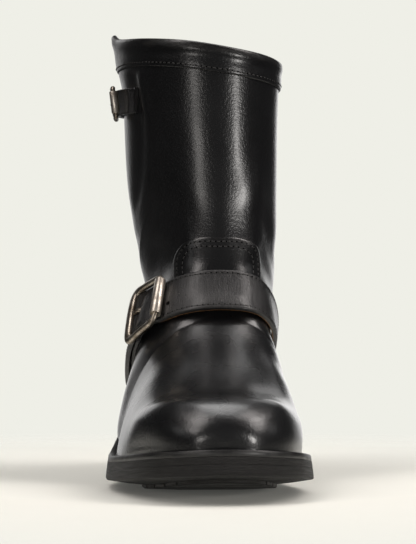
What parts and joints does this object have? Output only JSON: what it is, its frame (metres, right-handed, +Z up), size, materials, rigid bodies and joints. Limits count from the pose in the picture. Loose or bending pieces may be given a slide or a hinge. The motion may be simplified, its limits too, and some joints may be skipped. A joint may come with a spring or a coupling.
{
  "type": "engineer boot",
  "caption": "Short pull-on engineer boot for the right foot: hollow leather upper, buckled straps over the instep and at the collar, welted rubber sole, block heel.",
  "frame": {"origin": "on the floor, under the middle of the outsole's bounding box", "axes": "+Z up, +Y towards the heel, so the toe points to -Y; -X is the outer side of the foot"},
  "size_m": [0.112, 0.304, 0.2555],
  "materials": {
    "black_leather": "polished",
    "black_rubber": "satin",
    "insole_leather": "matte",
    "aged_metal": "worn"
  },
  "bodies": {
    "root": {"outsole": "black_rubber", "midsole": "black_rubber", "welt": "black_leather", "heel_base": "black_rubber", "top_lift": "black_rubber", "insole": "insole_leather", "upper": "black_leather", "instep_strap": "black_leather", "instep_chape": "black_leather", "instep_buckle": "aged_metal", "instep_roller": "aged_metal", "instep_prong": "aged_metal", "top_strap": "black_leather", "top_chape": "black_leather", "top_buckle": "aged_metal", "top_roller": "aged_metal", "top_prong": "aged_metal"}
  },
  "joints": []
}
